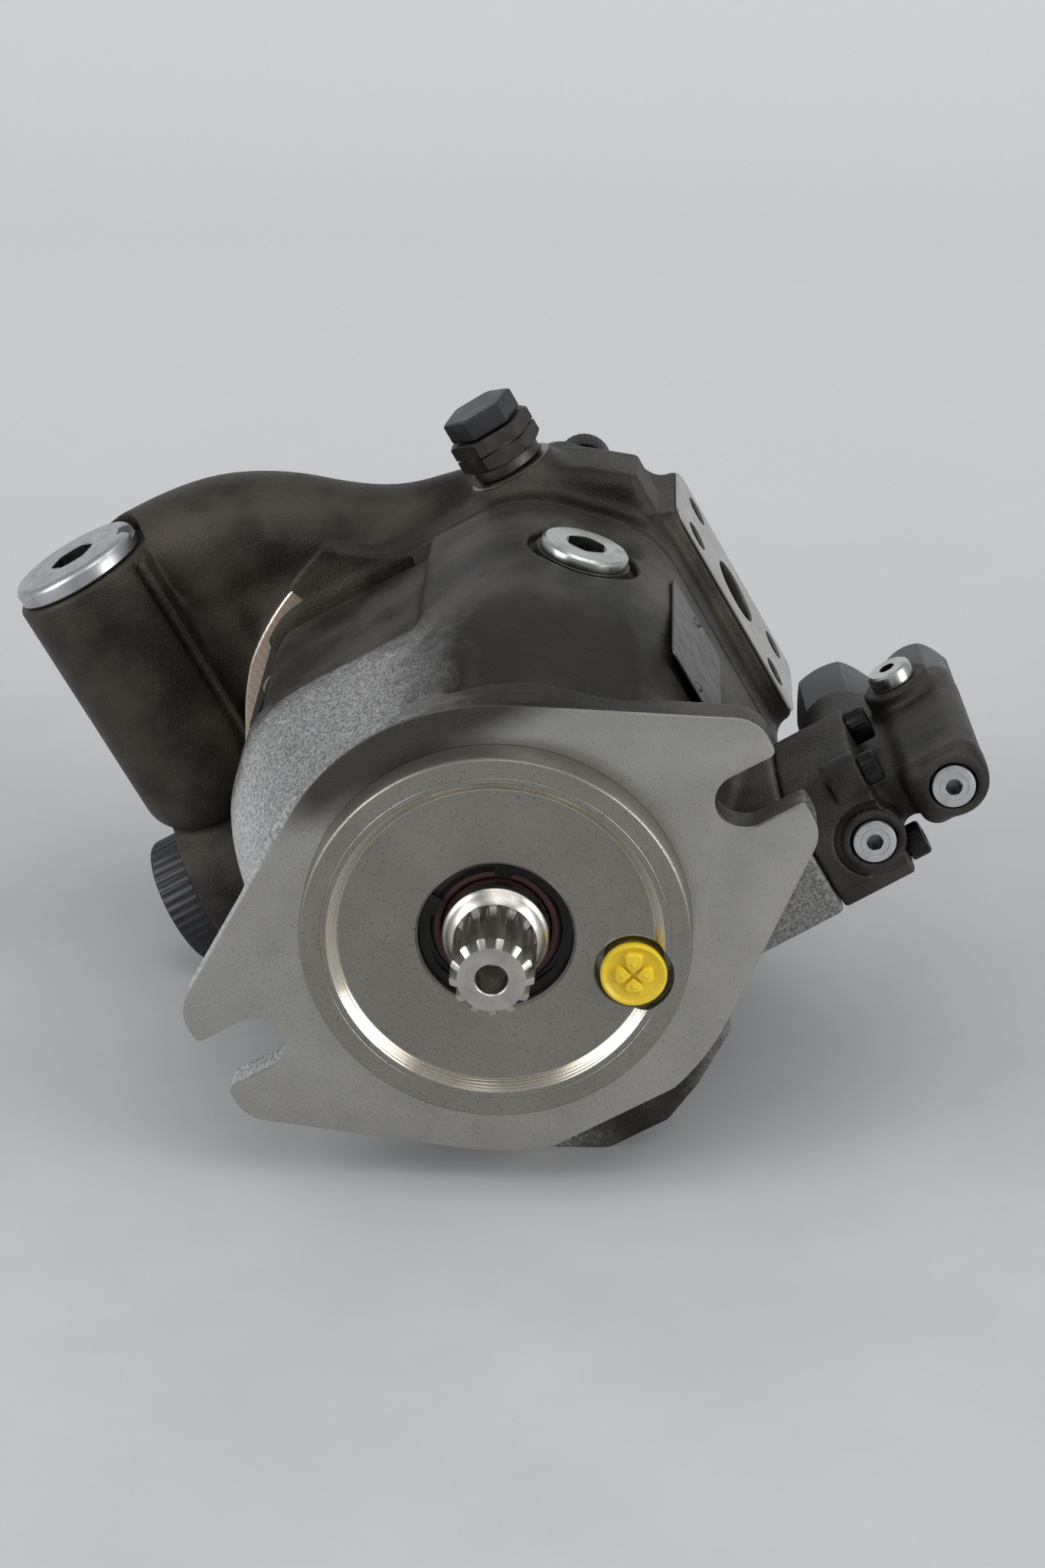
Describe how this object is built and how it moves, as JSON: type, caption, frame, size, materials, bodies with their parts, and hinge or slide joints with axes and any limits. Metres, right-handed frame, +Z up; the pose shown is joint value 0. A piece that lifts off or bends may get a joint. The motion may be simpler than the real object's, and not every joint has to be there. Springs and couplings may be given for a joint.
{
  "type": "axial piston pump",
  "caption": "Variable displacement swashplate pump with a two-bolt flange, splined shaft, side control valve, arched suction duct and shipping plugs.",
  "frame": {"origin": "centre of the bounding box on the floor the pump lies on", "axes": "+Z up from the floor, -Y out of the shaft end along the shaft, +X along the longest extent; the flange ears are rolled 29.3 degrees from X"},
  "size_m": [0.2744, 0.229, 0.18],
  "materials": {
    "barrel_spring": "shot peened",
    "bias_piston": "ground",
    "bias_spring": "shot peened",
    "case_drain_plug": "zinc plated",
    "control_valve_body": "phosphated",
    "cradle_shell_left": "bronze backed",
    "cradle_shell_right": "bronze backed",
    "cylinder_barrel": "ground",
    "drive_shaft": "ground",
    "fitting_cap": "moulded",
    "front_bearing_cup": "ground",
    "front_bearing_rollers": "ground",
    "high_adjuster_cap": "black",
    "high_bore_plug": "zinc plated",
    "high_spool": "lapped",
    "housing_bolt_1": "blackened",
    "housing_bolt_2": "blackened",
    "housing_bolt_3": "blackened",
    "housing_bolt_4": "blackened",
    "joint_gasket": "pressed fibre",
    "load_sense_fitting": "phosphated",
    "low_adjuster_cap": "black",
    "low_bore_plug": "zinc plated",
    "low_spool": "lapped",
    "name_plate": "bare sheet",
    "pilot_port_plug": "moulded",
    "piston_1": "lapped",
    "piston_2": "lapped",
    "piston_3": "lapped",
    "piston_4": "lapped",
    "piston_5": "lapped",
    "piston_6": "lapped",
    "piston_7": "lapped",
    "piston_8": "lapped",
    "piston_9": "lapped",
    "port_casting": "as cast, faces milled",
    "pump_housing": "as cast, faces milled",
    "rear_bearing_cup": "ground",
    "rear_bearing_rollers": "ground",
    "relief_valve_plug": "turned",
    "retainer_plate": "ground",
    "retaining_ball": "ground",
    "seal_retaining_ring": "oiled spring steel",
    "shaft_seal": "moulded",
    "side_plug": "zinc plated",
    "slipper_1": "lapped",
    "slipper_2": "lapped",
    "slipper_3": "lapped",
    "slipper_4": "lapped",
    "slipper_5": "lapped",
    "slipper_6": "lapped",
    "slipper_7": "lapped",
    "slipper_8": "lapped",
    "slipper_9": "lapped",
    "stroking_piston": "ground",
    "suction_cap": "moulded",
    "swash_cradle": "ground",
    "valve_plate": "lapped",
    "valve_screw_1": "blackened",
    "valve_screw_2": "blackened"
  },
  "bodies": {
    "pump_body": {"bias_piston": "bias_piston", "bias_spring": "bias_spring", "case_drain_plug": "case_drain_plug", "control_valve_body": "control_valve_body", "cradle_shell_left": "cradle_shell_left", "cradle_shell_right": "cradle_shell_right", "front_bearing_cup": "front_bearing_cup", "high_adjuster_cap": "high_adjuster_cap", "high_bore_plug": "high_bore_plug", "housing_bolt_1": "housing_bolt_1", "housing_bolt_2": "housing_bolt_2", "housing_bolt_3": "housing_bolt_3", "housing_bolt_4": "housing_bolt_4", "joint_gasket": "joint_gasket", "load_sense_fitting": "load_sense_fitting", "low_adjuster_cap": "low_adjuster_cap", "low_bore_plug": "low_bore_plug", "name_plate": "name_plate", "port_casting": "port_casting", "pump_housing": "pump_housing", "rear_bearing_cup": "rear_bearing_cup", "relief_valve_plug": "relief_valve_plug", "seal_retaining_ring": "seal_retaining_ring", "shaft_seal": "shaft_seal", "side_plug": "side_plug", "stroking_piston": "stroking_piston", "suction_cap": "suction_cap", "swash_cradle": "swash_cradle", "valve_plate": "valve_plate", "valve_screw_1": "valve_screw_1", "valve_screw_2": "valve_screw_2"},
    "rotating_group": {"drive_shaft": "drive_shaft", "front_bearing_rollers": "front_bearing_rollers", "rear_bearing_rollers": "rear_bearing_rollers", "cylinder_barrel": "cylinder_barrel", "piston_1": "piston_1", "piston_2": "piston_2", "piston_3": "piston_3", "piston_4": "piston_4", "piston_5": "piston_5", "piston_6": "piston_6", "piston_7": "piston_7", "piston_8": "piston_8", "piston_9": "piston_9", "slipper_1": "slipper_1", "slipper_2": "slipper_2", "slipper_3": "slipper_3", "slipper_4": "slipper_4", "slipper_5": "slipper_5", "slipper_6": "slipper_6", "slipper_7": "slipper_7", "slipper_8": "slipper_8", "slipper_9": "slipper_9", "retainer_plate": "retainer_plate", "retaining_ball": "retaining_ball", "barrel_spring": "barrel_spring"},
    "low_spool": {"low_spool": "low_spool"},
    "high_spool": {"high_spool": "high_spool"},
    "pilot_port_plug": {"pilot_port_plug": "pilot_port_plug"},
    "fitting_cap": {"fitting_cap": "fitting_cap"}
  },
  "joints": [
    {"name": "shaft_spin", "type": "hinge", "parent": "pump_body", "child": "rotating_group", "pos_m": [0.007, -0.0815, 0.0775], "axis": [0, 1, 0], "continuous": true},
    {"name": "low_spool_slide", "type": "slide", "parent": "pump_body", "child": "low_spool", "axis": [-0.0548, 0.998, -0.0307], "range_m": [-0.0015, 0.0025], "stiffness_N_per_m": 8000},
    {"name": "high_spool_slide", "type": "slide", "parent": "pump_body", "child": "high_spool", "axis": [-0.0548, 0.998, -0.0307], "range_m": [-0.0015, 0.0025], "stiffness_N_per_m": 8000},
    {"name": "pilot_plug_pull", "type": "slide", "parent": "pump_body", "child": "pilot_port_plug", "axis": [0, -1, 0], "range_m": [0, 0.012]},
    {"name": "fitting_cap_pull", "type": "slide", "parent": "pump_body", "child": "fitting_cap", "axis": [-0.4895, 0, 0.872], "range_m": [0, 0.014]}
  ]
}
